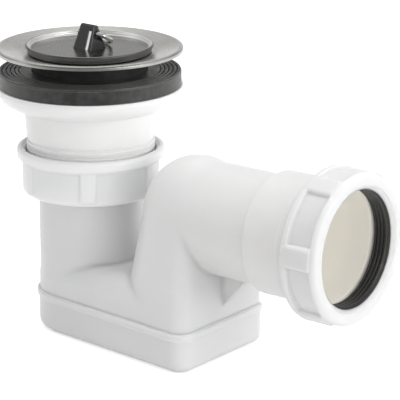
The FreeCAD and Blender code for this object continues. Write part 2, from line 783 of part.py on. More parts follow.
keel_outline(shaft_low, "riser_centre", "riser_radius", "base_length", "base_corner_radius", "side_taper",
             "-moulded_wall")
shaft_high = new_sketch(trap, "shaft_head", "XY_Plane", "-outlet_height")
keel_outline(shaft_high, "heel_centre", "outlet_radius - seam", "riser_top_length", "base_corner_radius",
             "riser_top_taper", "-moulded_wall")
loft(trap, "shaft", shaft_low, shaft_high, cut=True)
outlet_turned("waterway", [
    ("socket_end + socket_mouth", "0"),
    ("socket_end + socket_mouth", "socket_bore_radius + 2 * socket_mouth"),
    ("socket_end - socket_mouth", "socket_bore_radius"),
    ("socket_start + socket_step + moulded_wall", "socket_bore_radius"),
    ("socket_start + socket_step + moulded_wall", "outlet_radius - moulded_wall"),
    ("heel_centre", "outlet_radius - moulded_wall"),
    ("heel_centre - outlet_radius + moulded_wall", "0", "left", "outlet_radius - moulded_wall"),
], cut=True)
turned(trap, "inlet_tube", [
    ("tube_bore_radius", "-weld_line"),
    ("tube_radius", "-weld_line"),
    ("tube_radius", "collar_bottom"),
    ("collar_radius", "collar_bottom"),
    ("collar_radius", "collar_top"),
    ("tube_bore_radius", "collar_top"),
])
turned(trap, "inlet_bore", [
    ("0", "-weld_line"),
    ("tube_bore_radius", "-weld_line"),
    ("tube_bore_radius", "collar_top"),
    ("0", "collar_top"),
], cut=True)

# Base cap, welded on below the trap body, with a bead along the weld.
cap = new_body("base_cap")
cap_sketch = new_sketch(cap, "cap_outline", "XY_Plane", "-base_bottom")
keel_outline(cap_sketch, "0", "base_radius", "base_length", "base_corner_radius", "side_taper", "cap_proud")
cap_pad = padded(cap, "cap_block", cap_sketch, "base_bottom - weld_line")
floor_level = value("-base_bottom")
cap_round = rounded(cap, "cap_edge", cap_pad, "cap_edge_round", lambda edge: lies_at(edge, floor_level))
bead_sketch = new_sketch(cap, "bead_outline", "XY_Plane", "-weld_line - bead_drop - bead_height")
keel_outline(bead_sketch, "0", "base_radius", "base_length", "base_corner_radius", "side_taper", "bead_proud")
bead = padded(cap, "bead", bead_sketch, "bead_height")
bead_levels = (value("-weld_line - bead_drop - bead_height"), value("-weld_line - bead_drop"))
bead_edge_end = value("base_length + bead_proud")
bead_edge_start = value("-base_radius - bead_proud")


def on_bead(edge):
    """True for the outer edges of the bead, above and below."""
    at_level = any(lies_at(edge, level) for level in bead_levels)
    reach = value("bead_proud + cap_proud") / 2
    middle = edge.valueAt((edge.FirstParameter + edge.LastParameter) / 2)
    side = (middle.x * value("base_turn_sin") - abs(middle.y) * value("base_turn_cos"))
    outer_side = -side > value("base_radius") + reach
    outer_end = middle.x > value("base_length") + reach
    outer_start = math.hypot(middle.x, middle.y) > value("base_radius") + reach and middle.x < 0
    return at_level and (outer_side or outer_end or outer_start)


rounded(cap, "bead_edge", bead, "0.9 * (bead_proud - cap_proud)", on_bead)
cap_hollow = new_sketch(cap, "cap_hollow_outline", "XY_Plane", "-base_bottom + moulded_wall")
keel_outline(cap_hollow, "0", "base_radius", "base_length", "base_corner_radius", "side_taper",
             "-moulded_wall")
padded(cap, "cap_hollow", cap_hollow, "base_bottom - weld_line - moulded_wall", cut=True, reverse=True)


def outlet_body(label):
    """A body whose own X axis is the outlet's axis."""
    body = new_body(label)
    bind(body, "Placement.Base.z", "-outlet_height")
    return body


# Outlet nut: a back ring, a waist bridged by grip lugs, and a round front with the mouth
# for the waste pipe.
nut = outlet_body("outlet_nut")
nut_path = [
    ("nut_back", "nut_radius - nut_edge_round"),
    ("nut_back", "nut_thread_bore + thread_depth"),
]
nut_path += thread_steps("nut_thread_bore", "thread_depth", "nut_back + nut_thread_inset",
                         "outlet_thread_turns", "1", swap=True)
nut_path += [
    ("nut_front - nut_lip", "nut_thread_bore"),
    ("nut_front - nut_lip", "nut_bore_radius"),
    ("nut_front - nut_mouth_round", "nut_bore_radius"),
    ("nut_front", "nut_bore_radius + nut_mouth_round", "right", "nut_mouth_round"),
    ("nut_front", "nut_face_radius - nut_front_round"),
    ("nut_front - nut_front_round", "nut_face_radius", "left", "nut_front_round"),
    ("nut_front - nut_waist_end", "nut_waist_radius"),
    ("nut_back + nut_ring_width + nut_ring_slope", "nut_waist_radius"),
    ("nut_back + nut_ring_width", "nut_radius"),
    ("nut_back + nut_edge_round", "nut_radius"),
]
turned(nut, "nut_turning", nut_path, axis="H_Axis")
lug_sketch = new_sketch(nut, "nut_lug_outline", "YZ_Plane", "nut_back + nut_ring_width / 2")
closed_outline(lug_sketch, [
    ("-nut_lug_width / 2", "nut_waist_radius - grip_rib_root"),
    ("nut_lug_width / 2", "nut_waist_radius - grip_rib_root"),
    ("nut_lug_width / 2", "nut_radius - nut_lug_round"),
    ("nut_lug_width / 2 - nut_lug_round", "nut_radius", "left", "nut_lug_round"),
    ("-nut_lug_width / 2 + nut_lug_round", "nut_radius"),
    ("-nut_lug_width / 2", "nut_radius - nut_lug_round", "left", "nut_lug_round"),
])
bind(lug_sketch, "AttachmentOffset.Rotation.Angle", "outlet_rib_turn")
nut_lug = padded(nut, "nut_lug", lug_sketch, "nut_length - nut_ring_width / 2 - nut_front_round")
repeated(nut, "nut_lugs", nut_lug, "grip_rib_count", role="X_Axis")

# Slip ring, between the nut and the seal, so that the seal doesn't turn with the nut.
slip = outlet_body("slip_ring")
turned(slip, "slip_turning", [
    ("slip_back", "nut_bore_radius"),
    ("slip_back + slip_ring_width", "nut_bore_radius"),
    ("slip_back + slip_ring_width", "nut_thread_bore - thread_gap"),
    ("slip_back", "nut_thread_bore - thread_gap"),
], axis="H_Axis")

# Outlet seal: a rubber ring with grooves in its bore that grips the waste pipe.
grip = outlet_body("outlet_seal")
grip_path = [
    ("seal_back", "outlet_thread_radius"),
    ("seal_back", "outlet_seal_bore + outlet_seal_groove"),
]
groove_pitch = "(outlet_seal_length / outlet_seal_lips)"
for groove in range(int(value("outlet_seal_lips"))):
    begin = "seal_back + %d * %s" % (groove, groove_pitch)
    grip_path += [
        ("%s + 0.3 * %s" % (begin, groove_pitch), "outlet_seal_bore"),
        ("%s + 0.7 * %s" % (begin, groove_pitch), "outlet_seal_bore"),
        ("%s + %s" % (begin, groove_pitch), "outlet_seal_bore + outlet_seal_groove"),
    ]
grip_path += [("seal_back + outlet_seal_length", "outlet_thread_radius")]
turned(grip, "grip_moulding", grip_path, axis="H_Axis")

# Plug: a rubber stopper whose lug stands up through a stainless dish with a hemmed rim. The
# dish has a tab bent up in the slot of the lug, and a wire ring goes through both.
stopper = new_body("plug_body")
turned(stopper, "stopper_moulding", [
    ("0", "plug_under - plug_depth"),
    ("plug_foot_radius - plug_foot_round", "plug_under - plug_depth"),
    ("plug_foot_radius", "plug_under - plug_depth + plug_foot_round", "left", "plug_foot_round"),
    ("seat_radius - plug_seat_gap", "ledge_level - 2 * ledge_bend"),
    ("seat_radius", "ledge_level + plug_seat_gap"),
    ("plug_foot_edge", "ledge_level + plug_seat_gap"),
    ("plug_foot_edge", "plug_under"),
    ("0", "plug_under"),
])
lug_low = new_sketch(stopper, "lug_foot", "XY_Plane", "plug_under")
lug_high = new_sketch(stopper, "lug_head", "XY_Plane", "lug_crown_level")
lug_plans = ((lug_low, "lug_width", "lug_depth"), (lug_high, "lug_top_width", "lug_top_depth"))
for sketch, width, depth in lug_plans:
    closed_outline(sketch, [
        ("-%s / 2" % width, "-%s / 2" % depth),
        ("%s / 2" % width, "-%s / 2" % depth),
        ("%s / 2" % width, "%s / 2" % depth),
        ("-%s / 2" % width, "%s / 2" % depth),
    ])
    bind(sketch, "AttachmentOffset.Rotation.Angle", "lug_turn")
loft(stopper, "lug_stem", lug_low, lug_high)


def across_lug(body, name, level):
    """A sketch square to the lug's eye, whose origin lies on the eye's line at a level."""
    sketch = new_sketch(body, name, "YZ_Plane")
    bind(sketch, "AttachmentOffset.Base.y", level)
    bind(sketch, "AttachmentOffset.Rotation.Pitch", "lug_turn")
    return sketch


crown_sketch = across_lug(stopper, "lug_crown_outline", "lug_crown_level")
circle_outline(crown_sketch, "0", "0", "lug_top_depth / 2")
padded(stopper, "lug_crown", crown_sketch, "lug_top_width", both_ways=True)
slot_cut = new_sketch(stopper, "lug_slot_outline", "XY_Plane", "plug_under")
closed_outline(slot_cut, [
    ("lug_slot_offset - lug_slot / 2", "-lug_depth"),
    ("lug_slot_offset + lug_slot / 2", "-lug_depth"),
    ("lug_slot_offset + lug_slot / 2", "lug_depth"),
    ("lug_slot_offset - lug_slot / 2", "lug_depth"),
])
bind(slot_cut, "AttachmentOffset.Rotation.Angle", "lug_turn")
padded(stopper, "lug_slot", slot_cut, "lug_slot_height", cut=True, reverse=True)


def eye_cut(body, name, length):
    """The hole for the ring's wire."""
    sketch = across_lug(body, name + "_outline", "ring_level")
    circle_outline(sketch, "0", "0", "ring_wire / 2 + ring_eye_gap")
    padded(body, name, sketch, length, cut=True, both_ways=True)


eye_cut(stopper, "lug_eye", "2 * lug_width")

disc = new_body("plug_cap")
turned(disc, "disc_pressing", [
    ("0", "plug_under"),
    ("plug_foot_edge", "plug_under"),
    ("plug_disc_radius", "plug_rim_top - plug_hem_round"),
    ("plug_disc_radius - plug_hem_round", "plug_rim_top", "left", "plug_hem_round"),
    ("plug_disc_radius - 2 * plug_hem_round", "plug_rim_top - plug_hem_round", "left", "plug_hem_round"),
    ("plug_floor_radius + plug_floor_bend", "plug_disc_top + plug_floor_bend"),
    ("plug_floor_radius", "plug_disc_top", "right", "plug_floor_bend"),
    ("0", "plug_disc_top"),
])
leaf_holes = new_sketch(disc, "leaf_hole_outline", "XY_Plane", "plug_under - plug_disc_sheet")
for side, tag in (("1", "a"), ("-1", "b")):
    inner = "lug_slot_offset + %s * (lug_slot / 2 - tab_gap)" % side
    outer = "%s * (lug_width / 2 + tab_gap)" % side
    closed_outline(leaf_holes, [
        (inner, "-lug_depth / 2 - tab_gap"),
        (outer, "-lug_depth / 2 - tab_gap"),
        (outer, "lug_depth / 2 + tab_gap"),
        (inner, "lug_depth / 2 + tab_gap"),
    ], tag)
bind(leaf_holes, "AttachmentOffset.Rotation.Angle", "lug_turn")
padded(disc, "leaf_holes", leaf_holes, "3 * plug_disc_sheet", cut=True, reverse=True)
tab_sketch = across_lug(disc, "tab_outline", "plug_under")
bind(tab_sketch, "AttachmentOffset.Base.z", "lug_slot_offset")
closed_outline(tab_sketch, [
    ("-tab_foot", "0"),
    ("tab_foot", "0"),
    ("tab_foot - lug_slope * tab_height", "tab_height"),
    ("-tab_foot + lug_slope * tab_height", "tab_height"),
])
padded(disc, "tab", tab_sketch, "lug_slot - 2 * tab_gap", both_ways=True)
eye_cut(disc, "tab_eye", "2 * lug_width")

# Wire ring of the plug, a D whose straight bar turns in the eye of the lug. Its own X axis
# is the eye's axis, and it lies back on the disc.
ring = new_body("plug_ring")
bind(ring, "Placement.Base.z", "ring_level")
bind(ring, "Placement.Rotation.Yaw", "lug_turn")
bind(ring, "Placement.Rotation.Roll", "-ring_droop")
wire_line = new_sketch(ring, "ring_line", "XY_Plane")
closed_outline(wire_line, [
    ("0", "0"),
    ("ring_radius - ring_corner", "0"),
    ("ring_radius", "ring_corner", "left", "ring_corner"),
    ("ring_radius", "ring_corner + ring_side"),
    ("0", "ring_reach", "left", "ring_radius"),
    ("-ring_radius", "ring_corner + ring_side", "left", "ring_radius"),
    ("-ring_radius", "ring_corner"),
    ("-ring_radius + ring_corner", "0", "left", "ring_corner"),
])
wire_section = new_sketch(ring, "ring_section", "YZ_Plane")
circle_outline(wire_section, "0", "0", "ring_wire / 2")
wire = ring.newObject("PartDesign::AdditivePipe", "ring_wire_sweep")
wire.Profile = wire_section
wire.Spine = wire_line

doc.recompute()

faults = [item.Name for item in doc.Objects if "Invalid" in item.State or "Error" in item.State]
bodies = [item for item in doc.Objects if item.TypeId == "PartDesign::Body"]
for body in bodies:
    shape = body.Shape
    if shape.isNull() or not shape.isValid() or len(shape.Solids) != 1:
        faults.append("%s (%d solids)" % (body.Label, len(shape.Solids)))
if faults:
    raise RuntimeError("failed: " + ", ".join(faults))
for body in bodies:
    body.Shape.exportStep("parts/%s.step" % body.Label)
    print("%-16s %9.1f mm3" % (body.Label, body.Shape.Volume))
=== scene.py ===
import math

import bmesh
import bpy
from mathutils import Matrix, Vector


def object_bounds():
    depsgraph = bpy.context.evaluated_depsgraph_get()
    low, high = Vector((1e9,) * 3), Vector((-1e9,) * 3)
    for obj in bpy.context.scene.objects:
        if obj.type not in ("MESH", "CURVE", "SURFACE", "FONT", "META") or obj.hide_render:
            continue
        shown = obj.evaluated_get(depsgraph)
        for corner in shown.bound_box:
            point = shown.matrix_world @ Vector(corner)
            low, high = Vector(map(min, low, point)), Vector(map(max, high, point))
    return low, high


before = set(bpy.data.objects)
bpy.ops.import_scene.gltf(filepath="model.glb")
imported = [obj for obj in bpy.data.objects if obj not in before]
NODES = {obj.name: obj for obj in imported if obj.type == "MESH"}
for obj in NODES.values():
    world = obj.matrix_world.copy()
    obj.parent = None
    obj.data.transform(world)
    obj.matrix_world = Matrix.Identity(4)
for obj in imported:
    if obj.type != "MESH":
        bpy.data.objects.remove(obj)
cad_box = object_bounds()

# Pressed stainless flange. It is one drawn sheet with a satin face, polished a little where
# it was buffed in rings on a lathe. The outward faces of its lip take a darker copy of the steel,
# painted shade for the dark reflection along the lip.
FLANGE_STEEL = (0.8, 0.79, 0.76, 1)
LIP_PAINTED_SHADE = (0.42, 0.415, 0.4, 1)
FLANGE_FINISH = {"roughness": 0.3, "line_pitch": 0.0004, "line_depth": 0.00003}
LIP_REACH = 0.034
LIP_LEAN = 0.4
STEEL_CLOUDS = 140
TARNISH = 0.9
SMOOTHEST = -0.07
ROUGHEST = 0.1
LINE_STRENGTH = 0.25
LEAST_REACH = 0.001


def new_material(name):
    """A node material and its shader."""
    material = bpy.data.materials.new(name)
    material.use_nodes = True
    return material, material.node_tree.nodes["Principled BSDF"]


def add_node(owner, kind, **settings):
    """A node of a material or of the world, with the given settings."""
    node = owner.node_tree.nodes.new(kind)
    for key, setting in settings.items():
        setattr(node, key, setting)
    return node


def wire(owner, source, target):
    """A link from one node's socket to another's."""
    owner.node_tree.links.new(source, target)


def object_place(material):
    """The place of each point on its own piece."""
    return add_node(material, "ShaderNodeTexCoord").outputs["Object"]


def grey(level):
    """A grey as the sockets and ramps take it."""
    return (level, level, level, 1)


def noise(material, vector, scale, detail=3.0, roughness=0.5):
    """A cloudy pattern, with the count of clouds to a metre as its scale."""
    texture = add_node(material, "ShaderNodeTexNoise")
    texture.inputs["Scale"].default_value = scale
    texture.inputs["Detail"].default_value = detail
    texture.inputs["Roughness"].default_value = roughness
    wire(material, vector, texture.inputs["Vector"])
    return texture.outputs["Fac"]


def ramp(material, source, low, high, at=(0.35, 0.65)):
    """A value turned into a run between two colours."""
    node = add_node(material, "ShaderNodeValToRGB")
    for element, place, colour in zip(node.color_ramp.elements, at, (low, high)):
        element.position = place
        element.color = (*colour[:3], 1)
    wire(material, source, node.inputs["Fac"])
    return node.outputs["Color"]


def bump(material, shader, source, strength, distance):
    """A shader's bumps, from a pattern."""
    node = add_node(material, "ShaderNodeBump")
    node.inputs["Strength"].default_value = strength
    node.inputs["Distance"].default_value = distance
    wire(material, source, node.inputs["Height"])
    wire(material, node.outputs["Normal"], shader.inputs["Normal"])
    return node


def buffed_metal(name, colour, roughness, line_pitch, line_depth):
    """Metal with fine lines round the Z axis, as buffing or turning on a lathe leaves them."""
    material, shader = new_material(name)
    place = object_place(material)
    parts = add_node(material, "ShaderNodeSeparateXYZ")
    wire(material, place, parts.inputs["Vector"])
    flat = add_node(material, "ShaderNodeCombineXYZ")
    wire(material, parts.outputs["X"], flat.inputs["X"])
    wire(material, parts.outputs["Y"], flat.inputs["Y"])
    reach = add_node(material, "ShaderNodeVectorMath", operation="LENGTH")
    wire(material, flat.outputs["Vector"], reach.inputs[0])
    ring = add_node(material, "ShaderNodeCombineXYZ")
    wire(material, reach.outputs["Value"], ring.inputs["X"])
    wire(material, parts.outputs["Z"], ring.inputs["Z"])
    lines = noise(material, ring.outputs["Vector"], 1 / line_pitch, detail=4.0, roughness=0.7)
    clouds = noise(material, place, STEEL_CLOUDS)
    shader.inputs["Metallic"].default_value = 1.0
    wire(material, ramp(material, clouds, [c * TARNISH for c in colour[:3]], colour),
         shader.inputs["Base Color"])
    wire(material, ramp(material, lines, grey(roughness + SMOOTHEST), grey(roughness + ROUGHEST)),
         shader.inputs["Roughness"])
    bump(material, shader, lines, LINE_STRENGTH, line_depth)
    return material


def dress(node, *materials):
    """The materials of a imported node, in its own slots, and its mesh."""
    mesh = NODES[node].data
    mesh.materials.clear()
    for material in materials:
        mesh.materials.append(material)
    return mesh


def lie(face):
    """How far out a face of a round piece lies, and how far it leans outward."""
    reach = math.hypot(face.center.x, face.center.y)
    outward = face.center.x * face.normal.x + face.center.y * face.normal.y
    return reach, outward / max(reach, LEAST_REACH)


flange = dress(
    "waste_flange",
    buffed_metal("flange_steel", FLANGE_STEEL, **FLANGE_FINISH),
    buffed_metal("lip_painted_shade", LIP_PAINTED_SHADE, **FLANGE_FINISH))
# Painted shade: the outward faces of the lip take the darker copy of the steel.
for face in flange.polygons:
    reach, outward = lie(face)
    if reach > LIP_REACH and outward > LIP_LEAN:
        face.material_index = 1

# Fixing screw and the ring of the plug: bright drawn steel, with faint drawing marks. The
# screw goes into a brass insert, which is turned bar, left as it came off the lathe.
WIRE_STEEL = (0.66, 0.655, 0.64, 1)
BRASS = (0.56, 0.4, 0.16, 1)
wire_steel = buffed_metal("wire_steel", WIRE_STEEL, roughness=0.22, line_pitch=0.0008,
                          line_depth=0.00001)
dress("plug_ring", wire_steel)
dress("fixing_screw", wire_steel)
dress("threaded_insert", buffed_metal("turned_brass", BRASS, roughness=0.3, line_pitch=0.0005,
                                      line_depth=0.00003))

# Disc of the plug. It is a thinner pressing of the same steel, darker and smoother. The
# outer face of its hem is rougher, with painted shade: a darker copy of the steel. Its inner wall
# and the tab in the stopper's lug have painted highlights: a brighter copy.
DISC_STEEL = (0.34, 0.335, 0.315, 1)
HEM_PAINTED_SHADE = (0.13, 0.13, 0.128, 1)
PAINTED_HIGHLIGHT_STEEL = (0.85, 0.85, 0.84, 1)
HEM_REACH = 0.0228
HEM_LEAN = 0.55
WALL_REACH = 0.0216
WALL_LEAN = -0.275
TAB_REACH = 0.006
TAB_LEVEL = 0.003
disc = dress(
    "plug_cap",
    buffed_metal("disc_steel", DISC_STEEL, roughness=0.2, line_pitch=0.0006, line_depth=0.00002),
    buffed_metal("hem_painted_shade", HEM_PAINTED_SHADE, roughness=0.34, line_pitch=0.0006, line_depth=0.00002),
    buffed_metal("painted_highlight_steel", PAINTED_HIGHLIGHT_STEEL, roughness=0.3, line_pitch=0.0006,
                 line_depth=0.00001))
# Painted shade on the hem's outer face; painted highlights on the inner wall and on the tab.
for face in disc.polygons:
    reach, outward = lie(face)
    on_wall = reach > WALL_REACH and outward < WALL_LEAN
    on_tab = reach < TAB_REACH and face.center.z > TAB_LEVEL
    if reach > HEM_REACH and outward > HEM_LEAN:
        face.material_index = 1
    elif on_wall or on_tab:
        face.material_index = 2

# Stopper with its lug, one moulding of near black rubber. It is glossy where it is wiped,
# and has painted highlights along its corners.
STOPPER_RUBBER = (0.006, 0.006, 0.0065, 1)
RUBBER_EDGE_HIGHLIGHT = (0.22, 0.22, 0.21, 1)
RUBBER_CLOUDS = 320
RUBBER_GRAIN = 2600
DUSTY_PARTS = (0.4, 0.75)
UNWIPED = 0.14
GRAIN_STRENGTH = 0.3
EDGE_REACH = 0.0007
EDGE_BEND = 0.8
LUG_ROUND = 0.0009


def step_between(owner, source, start, end):
    """A smooth step from nought at the start to one at the end."""
    node = add_node(owner, "ShaderNodeMapRange", interpolation_type="SMOOTHSTEP")
    node.inputs["From Min"].default_value = start
    node.inputs["From Max"].default_value = end
    wire(owner, source, node.inputs["Value"])
    return node.outputs["Result"]


def reckon(owner, operation, *terms):
    """One sum, product or other operation on sockets and numbers."""
    node = add_node(owner, "ShaderNodeMath", operation=operation)
    for socket, term in zip(node.inputs, terms):
        if isinstance(term, (int, float)):
            socket.default_value = term
        else:
            wire(owner, term, socket)
    return node.outputs["Value"]


def painted_edge_highlights(material, plain, highlight_colour, strength):
    """Painted highlights: a colour that goes over to a paler one along the corners of the mesh."""
    soft = add_node(material, "ShaderNodeBevel", samples=6)
    soft.inputs["Radius"].default_value = EDGE_REACH
    true = add_node(material, "ShaderNodeNewGeometry")
    bend = add_node(material, "ShaderNodeVectorMath", operation="DOT_PRODUCT")
    wire(material, soft.outputs["Normal"], bend.inputs[0])
    wire(material, true.outputs["Normal"], bend.inputs[1])
    edge = step_between(material, bend.outputs["Value"], 1.0, EDGE_BEND)
    blended = add_node(material, "ShaderNodeMix", data_type="RGBA")
    factor, first, second = [blended.inputs[number] for number in (0, 6, 7)]
    wire(material, reckon(material, "MULTIPLY", edge, strength), factor)
    wire(material, plain, first)
    second.default_value = highlight_colour
    return blended.outputs[2]


def moulded_rubber(name, colour, roughness, dust, grain, highlight_strength=0.7):
    """Dusty black rubber with painted highlights along its corners, and the bump node of its
    grain.
    """
    material, shader = new_material(name)
    place = object_place(material)
    clouds = noise(material, place, RUBBER_CLOUDS, detail=4.0, roughness=0.6)
    fine = noise(material, place, RUBBER_GRAIN, roughness=0.6)
    plain = ramp(material, clouds, colour, [c + dust for c in colour[:3]], DUSTY_PARTS)
    # Painted highlights: the corners go over to the paler edge colour.
    wire(material, painted_edge_highlights(material, plain, RUBBER_EDGE_HIGHLIGHT, highlight_strength), shader.inputs["Base Color"])
    wire(material, ramp(material, clouds, grey(roughness), grey(roughness + UNWIPED)),
         shader.inputs["Roughness"])
    return material, bump(material, shader, fine, GRAIN_STRENGTH, grain)


def soft_corners(material, skin, radius):
    """Corners rounded in the shading, under the bumps of the skin."""
    corner = add_node(material, "ShaderNodeBevel", samples=8)
    corner.inputs["Radius"].default_value = radius
    wire(material, corner.outputs["Normal"], skin.inputs["Normal"])
    return corner


stopper_rubber, stopper_skin = moulded_rubber("plug_rubber", STOPPER_RUBBER, roughness=0.16,
                                              dust=0.004, grain=0.00002)
soft_corners(stopper_rubber, stopper_skin, LUG_ROUND)
dress("plug_body", stopper_rubber)

# Sleeve, ribbed washer, foam gasket and union seal, which make the waste tight on the tray
# and on the trap. The washer and the sleeve are soft moulded rubber, dusty in patches, with
# painted highlights along the crests of the ribs.
SLEEVE_RUBBER = (0.024, 0.024, 0.024, 1)
WASHER_RUBBER = (0.021, 0.021, 0.02, 1)
GASKET_FOAM = (0.05, 0.05, 0.052, 1)
sleeve_rubber = moulded_rubber("sleeve_rubber", SLEEVE_RUBBER, roughness=0.3, dust=0.012,
                               grain=0.00003)[0]
dress("tray_sleeve", sleeve_rubber)
dress("union_seal", sleeve_rubber)
dress("ribbed_washer", moulded_rubber("washer_rubber", WASHER_RUBBER, roughness=0.34,
                                      dust=0.026, grain=0.00012)[0])
dress("flange_gasket", moulded_rubber("gasket_foam", GASKET_FOAM, roughness=0.75, dust=0.03,
                                      grain=0.0002)[0])

# Upper body, a white polypropylene moulding. It is satin and a little waxy, with a very
# light orange peel from the mould.
BODY_WHITE = (0.85, 0.85, 0.845, 1)
EDGE_HIGHLIGHT_WHITE = (0.97, 0.97, 0.965, 1)
EDGE_HIGHLIGHT_STRENGTH = 0.8
WHITE_CLOUDS = 35
CLOUD_SHADE = 0.975
CLOUD_PARTS = (0.3, 0.6)
PEEL_SCALE = 420
PEEL_STRENGTH = 0.2
SATIN = 0.1
WAXINESS = 0.6
WAX_TINT = (1, 0.96, 0.9)


def moulded_white(name, colour, roughness, peel, depth):
    """White plastic that light enters to a depth, with painted corner highlights, and the bump
    node of its orange peel.
    """
    material, shader = new_material(name)
    place = object_place(material)
    clouds = noise(material, place, WHITE_CLOUDS, detail=4.0, roughness=0.55)
    skin = noise(material, place, PEEL_SCALE)
    plain = ramp(material, clouds, [c * CLOUD_SHADE for c in colour[:3]], colour, CLOUD_PARTS)
    # Painted highlights: the corners go over to the paler edge colour.
    wire(material, painted_edge_highlights(material, plain, EDGE_HIGHLIGHT_WHITE, EDGE_HIGHLIGHT_STRENGTH), shader.inputs["Base Color"])
    wire(material, ramp(material, skin, grey(roughness), grey(roughness + SATIN)),
         shader.inputs["Roughness"])
    shader.inputs["Subsurface Weight"].default_value = WAXINESS
    shader.inputs["Subsurface Radius"].default_value = [depth * tint for tint in WAX_TINT]
    shader.inputs["Subsurface Scale"].default_value = 1.0
    return material, bump(material, shader, skin, PEEL_STRENGTH, peel)


dress("upper_body", moulded_white("body_white", BODY_WHITE, roughness=0.3, peel=0.00004,
                                  depth=0.003)[0])

# Union nut, white, moulded with a flared ring and with grip ribs that have soft corners. It
# draws the spigot of the upper body down on the collar of the trap.
UNION_WHITE = (0.87, 0.87, 0.865, 1)
GRIP_ROUND = 0.0012
union_white, union_skin = moulded_white("nut_white", UNION_WHITE, roughness=0.34,
                                        peel=0.00005, depth=0.003)
soft_corners(union_white, union_skin, GRIP_ROUND)
dress("union_nut", union_white)

# Trap body and the base cap welded on below it, both in a greyer white. The mould blends
# the body's deck, riser, heel and pipe into each other. The weld, the socket with its stop
# ring and the thread stay crisp.
TRAP_WHITE = (0.72, 0.72, 0.72, 1)
TRAP_FINISH = {"roughness": 0.34, "peel": 0.00005, "depth": 0.004}
BLEND = 0.005
CRISP = 0.0003
WELD_LEVEL = -0.092
SOCKET_START = 0.0878
NEAR_BLEND = 0.6
FAR_BLEND = 1.8
trap_white, trap_skin = moulded_white("trap_white", TRAP_WHITE, **TRAP_FINISH)
dress("trap_body", trap_white)
dress("base_cap", moulded_white("cap_white", TRAP_WHITE, **TRAP_FINISH)[0])
trap_place = add_node(trap_white, "ShaderNodeSeparateXYZ")
wire(trap_white, object_place(trap_white), trap_place.inputs["Vector"])
along = trap_place.outputs["X"]
level = trap_place.outputs["Z"]
before_socket = step_between(trap_white, along, SOCKET_START - NEAR_BLEND * BLEND,
                             SOCKET_START - FAR_BLEND * BLEND)
over_weld = step_between(trap_white, level, WELD_LEVEL + NEAR_BLEND * BLEND,
                         WELD_LEVEL + FAR_BLEND * BLEND)
blend = add_node(trap_white, "ShaderNodeMapRange")
blend.inputs["To Min"].default_value = CRISP
blend.inputs["To Max"].default_value = BLEND
wire(trap_white, reckon(trap_white, "MULTIPLY", before_socket, over_weld), blend.inputs["Value"])
trap_corners = soft_corners(trap_white, trap_skin, BLEND)
wire(trap_white, blend.outputs["Result"], trap_corners.inputs["Radius"])

# Bore of the outlet. The warm light that comes through the trap's wall is painted on as a glow
# of the inner face of the pipe and of the wider socket.
PAINTED_BORE_GLOW = (0.185, 0.168, 0.128)
OUTLET_LEVEL = -0.0538
PIPE_REACH = 0.0193
SOCKET_REACH = 0.0216
GLOW_START = 0.055
BORE_STEP = 0.0912
BORDER = 0.0002
off_axis = add_node(trap_white, "ShaderNodeCombineXYZ")
wire(trap_white, trap_place.outputs["Y"], off_axis.inputs["Y"])
wire(trap_white, reckon(trap_white, "SUBTRACT", level, OUTLET_LEVEL), off_axis.inputs["Z"])
axis_distance = add_node(trap_white, "ShaderNodeVectorMath", operation="LENGTH")
wire(trap_white, off_axis.outputs["Vector"], axis_distance.inputs[0])


def glowing_bore(radius, start, end):
    """One inside a radius about the outlet's axis and past a place on it, nought elsewhere."""
    within = step_between(trap_white, axis_distance.outputs["Value"], radius + BORDER,
                          radius - BORDER)
    return reckon(trap_white, "MULTIPLY", within, step_between(trap_white, along, start, end))


in_bore = reckon(trap_white, "MAXIMUM",
                 glowing_bore(PIPE_REACH, GLOW_START, BORE_STEP),
                 glowing_bore(SOCKET_REACH, BORE_STEP - BORDER, BORE_STEP))
trap_shader = trap_white.node_tree.nodes["Principled BSDF"]
# Painted glow on the inner face of the bore.
wire(trap_white, ramp(trap_white, in_bore, grey(0), PAINTED_BORE_GLOW, (0, 1)),
     trap_shader.inputs["Emission Color"])
trap_shader.inputs["Emission Strength"].default_value = 1.0

# Outlet nut with its rubber seal and the slip ring between them. The nut is the trap's
# white, with soft corners on its lugs. Its lip in front of the seal takes a whiter copy, painted
# light on the lip's shaded inner faces.
LIP_PAINTED_LIGHT = (0.98, 0.98, 0.975, 1)
LIP_START = 0.12
LIP_HOLLOW = 0.004
SEAL_RUBBER = (0.007, 0.007, 0.007, 1)
SLIP_PLASTIC = (0.02, 0.02, 0.02, 1)
outlet_white, outlet_skin = moulded_white("outlet_white", TRAP_WHITE, **TRAP_FINISH)
soft_corners(outlet_white, outlet_skin, GRIP_ROUND)
outlet_nut = dress("outlet_nut", outlet_white,
                   moulded_white("lip_painted_light", LIP_PAINTED_LIGHT, **TRAP_FINISH)[0])
# Painted light: the lip's inner faces take the whiter copy.
for face in outlet_nut.polygons:
    upward = face.center.z - OUTLET_LEVEL
    inward = -face.center.y * face.normal.y - upward * face.normal.z
    if face.center.x > LIP_START and inward > LIP_HOLLOW:
        face.material_index = 1
dress("outlet_seal", moulded_rubber("seal_rubber", SEAL_RUBBER, roughness=0.36, dust=0.005,
                                    grain=0.00003, highlight_strength=0.2)[0])
dress("slip_ring", moulded_rubber("slip_plastic", SLIP_PLASTIC, roughness=0.35, dust=0.004,
                                  grain=0.00001)[0])

# Floor of the studio, round and very wide, with only the object's own shadow on it. It is
# white to the camera and in reflections, and dim in those where it nears the camera.
FLOOR_DROP = 0.0002
FLOOR_LEVEL = cad_box[0].z - FLOOR_DROP
FLOOR_REACH = 12.0
FLOOR_SIDES = 64
FLOOR_GREY = 0.8
FLOOR_GLOW = 0.55
NEAR_GREY = 0.04
NEAR_EDGE = 0.14
NEAR_FADE = 0.2
VIEW_TURN = math.radians(38.5)
AWAY = (-math.sin(VIEW_TURN), math.cos(VIEW_TURN), 0)


